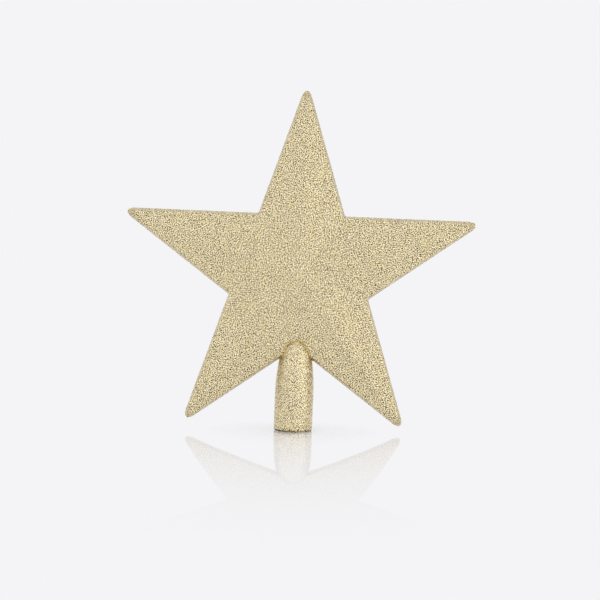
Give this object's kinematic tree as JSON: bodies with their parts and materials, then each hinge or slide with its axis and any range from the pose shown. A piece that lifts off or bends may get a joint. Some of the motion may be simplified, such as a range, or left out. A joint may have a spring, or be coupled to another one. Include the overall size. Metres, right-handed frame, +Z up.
{
  "type": "tree topper star",
  "caption": "Faceted glitter star for the top of a tree: hollow half shells closed over a bullet-shaped socket tube that slides down over the tree's top shoot.",
  "frame": {"origin": "centre of the socket's mouth, on the surface that the topper stands on", "axes": "+Z up along the socket's axis, +X across the star's side arms, -Y out of the star's front face"},
  "size_m": [0.1904, 0.0206, 0.1861],
  "materials": {
    "star_shell": "moulded polystyrene with a sprayed coat of champagne-gold glitter",
    "socket": "moulded polystyrene, champagne-gold glitter outside and bare inside"
  },
  "bodies": {
    "root": {"front_shell": "star_shell", "back_shell": "star_shell", "tree_socket": "socket"}
  },
  "joints": []
}
